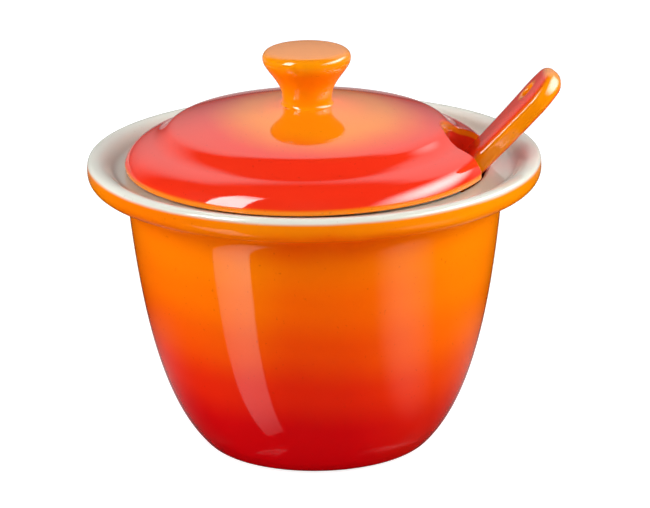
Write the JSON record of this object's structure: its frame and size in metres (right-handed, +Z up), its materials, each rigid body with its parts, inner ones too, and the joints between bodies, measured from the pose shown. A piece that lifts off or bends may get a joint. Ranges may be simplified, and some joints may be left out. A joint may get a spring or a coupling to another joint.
{
  "type": "condiment pot",
  "caption": "Small round glazed stoneware condiment pot with a rolled rim, a knobbed lid notched for a spoon, and a matching ceramic spoon standing in it.",
  "frame": {"origin": "centre of the pot's flat base, on the table", "axes": "+Z up along the pot's axis, +X towards the side where the spoon's handle comes out, +Y to the back"},
  "size_m": [0.1094, 0.105, 0.0942],
  "materials": {
    "pot_glaze": "glossy glaze shading from orange at the top to deep red at the base, cream inside",
    "lid_glaze": "glossy coral red glaze that thins to orange at the edge, cream below",
    "knob_glaze": "glossy orange glaze",
    "spoon_glaze": "glossy red glaze with orange edges"
  },
  "bodies": {
    "pot": {"pot": "pot_glaze"},
    "lid": {"lid": "lid_glaze", "lid_knob": "knob_glaze"},
    "spoon": {"spoon": "spoon_glaze"}
  },
  "joints": [
    {"name": "lid_lift", "type": "slide", "parent": "pot", "child": "lid", "axis": [0, 0, 1], "range_m": [0, 0.06]},
    {"name": "spoon_draw", "type": "slide", "parent": "pot", "child": "spoon", "axis": [0.7009, 0, 0.7133], "range_m": [0, 0.03]}
  ]
}
